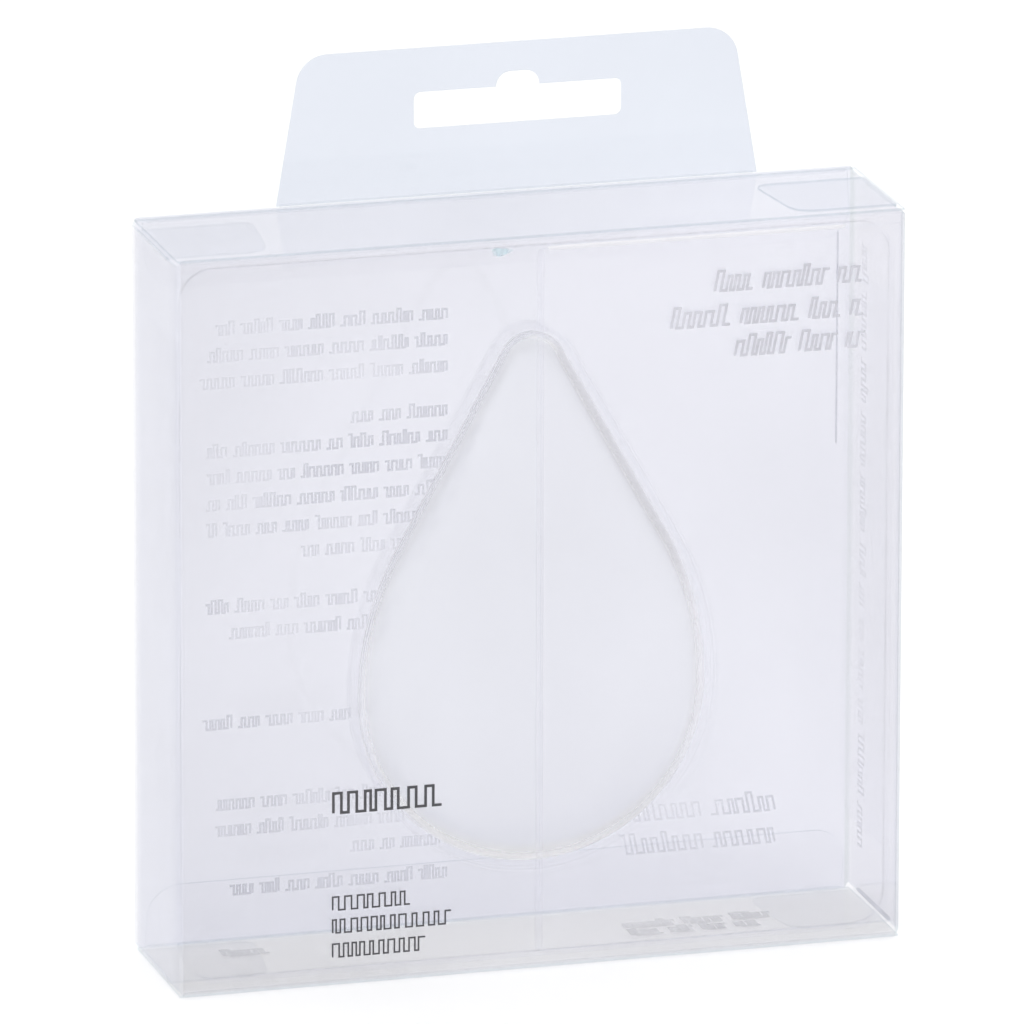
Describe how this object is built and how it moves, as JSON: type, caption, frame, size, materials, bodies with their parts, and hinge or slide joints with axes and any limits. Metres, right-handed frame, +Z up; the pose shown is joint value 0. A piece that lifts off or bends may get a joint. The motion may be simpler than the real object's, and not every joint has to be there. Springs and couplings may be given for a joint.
{
  "type": "hanging display carton",
  "caption": "Clear hanging carton with hinged panels, tuck-in lids, dust flaps and a formed tray that holds a teardrop make-up applicator.",
  "frame": {"origin": "centre of the carton's base, on the surface that it stands on", "axes": "+Z up, front wall faces -Y, +X to the right as seen from the front"},
  "size_m": [0.11, 0.025, 0.1335],
  "materials": {
    "clear_sheet": "clear, glossy, faint lilac cast",
    "formed_tray": "clear, glossy",
    "silicone": "clear, satin"
  },
  "bodies": {
    "carton": {"front_panel": "clear_sheet", "back_panel": "clear_sheet", "left_side_panel": "clear_sheet", "right_side_panel": "clear_sheet", "glue_flap": "clear_sheet", "tray": "formed_tray", "applicator": "silicone"},
    "hang_tab": {"hang_tab": "clear_sheet"},
    "top_lid": {"top_lid": "clear_sheet"},
    "top_tuck_flap": {"top_tuck_flap": "clear_sheet"},
    "top_left_dust_flap": {"top_left_dust_flap": "clear_sheet"},
    "top_right_dust_flap": {"top_right_dust_flap": "clear_sheet"},
    "bottom_lid": {"bottom_lid": "clear_sheet"},
    "bottom_tuck_flap": {"bottom_tuck_flap": "clear_sheet"},
    "bottom_left_dust_flap": {"bottom_left_dust_flap": "clear_sheet"},
    "bottom_right_dust_flap": {"bottom_right_dust_flap": "clear_sheet"}
  },
  "joints": [
    {"name": "hang_tab_crease", "type": "hinge", "parent": "carton", "child": "hang_tab", "pos_m": [0, 0.01232, 0.11117], "axis": [1, 0, 0], "range_deg": [-85, 85]},
    {"name": "top_lid_crease", "type": "hinge", "parent": "carton", "child": "top_lid", "pos_m": [0, -0.0125, 0.11065], "axis": [1, 0, 0], "range_deg": [0, 180]},
    {"name": "top_tuck_crease", "type": "hinge", "parent": "top_lid", "child": "top_tuck_flap", "pos_m": [0, 0.01155, 0.11065], "axis": [-1, 0, 0], "range_deg": [0, 45]},
    {"name": "top_left_dust_crease", "type": "hinge", "parent": "carton", "child": "top_left_dust_flap", "pos_m": [-0.055, 0, 0.11], "axis": [0, -1, 0], "range_deg": [0, 81]},
    {"name": "top_right_dust_crease", "type": "hinge", "parent": "carton", "child": "top_right_dust_flap", "pos_m": [0.055, 0, 0.11], "axis": [0, 1, 0], "range_deg": [0, 81]},
    {"name": "bottom_lid_crease", "type": "hinge", "parent": "carton", "child": "bottom_lid", "pos_m": [0, -0.0125, 0.00035], "axis": [-1, 0, 0], "range_deg": [0, 180]},
    {"name": "bottom_tuck_crease", "type": "hinge", "parent": "bottom_lid", "child": "bottom_tuck_flap", "pos_m": [0, 0.01155, 0.00035], "axis": [1, 0, 0], "range_deg": [0, 45]},
    {"name": "bottom_left_dust_crease", "type": "hinge", "parent": "carton", "child": "bottom_left_dust_flap", "pos_m": [-0.055, 0, 0.001], "axis": [0, 1, 0], "range_deg": [0, 81]},
    {"name": "bottom_right_dust_crease", "type": "hinge", "parent": "carton", "child": "bottom_right_dust_flap", "pos_m": [0.055, 0, 0.001], "axis": [0, -1, 0], "range_deg": [0, 81]}
  ],
  "couplings": [
    {"joint": "top_left_dust_crease", "follows": "top_lid_crease", "ratio": 0.45},
    {"joint": "top_right_dust_crease", "follows": "top_lid_crease", "ratio": 0.45},
    {"joint": "bottom_left_dust_crease", "follows": "bottom_lid_crease", "ratio": 0.45},
    {"joint": "bottom_right_dust_crease", "follows": "bottom_lid_crease", "ratio": 0.45}
  ]
}
